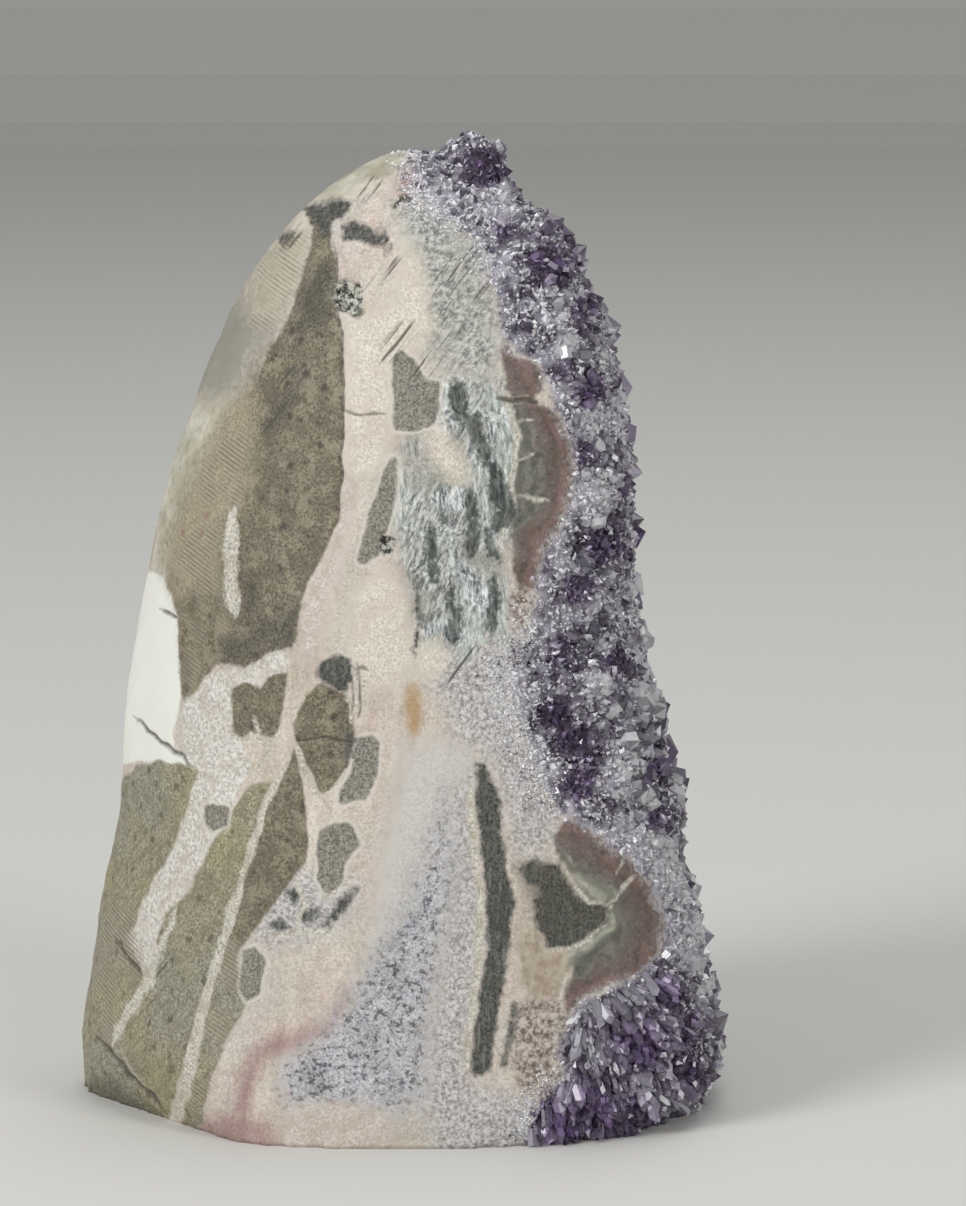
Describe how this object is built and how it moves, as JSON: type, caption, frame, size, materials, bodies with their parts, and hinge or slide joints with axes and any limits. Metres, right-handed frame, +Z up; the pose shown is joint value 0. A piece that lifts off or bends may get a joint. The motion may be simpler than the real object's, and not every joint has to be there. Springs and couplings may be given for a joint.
{
  "type": "amethyst geode",
  "caption": "Cut-base amethyst geode piece: a rounded stone with a ground side that shows its layers and a crust of purple quartz crystals on one face, standing as an ornament.",
  "frame": {"origin": "on the cut base, under the middle of the piece's box", "axes": "+Z up, -Y out of the ground side that shows the layers, +X out of the crystal face, -X out of the rind"},
  "size_m": [0.0877, 0.07, 0.1269],
  "materials": {
    "host_stone": "satin",
    "amethyst_crust": "gloss"
  },
  "bodies": {
    "root": {"host_stone": "host_stone", "amethyst_crust": "amethyst_crust"}
  },
  "joints": []
}
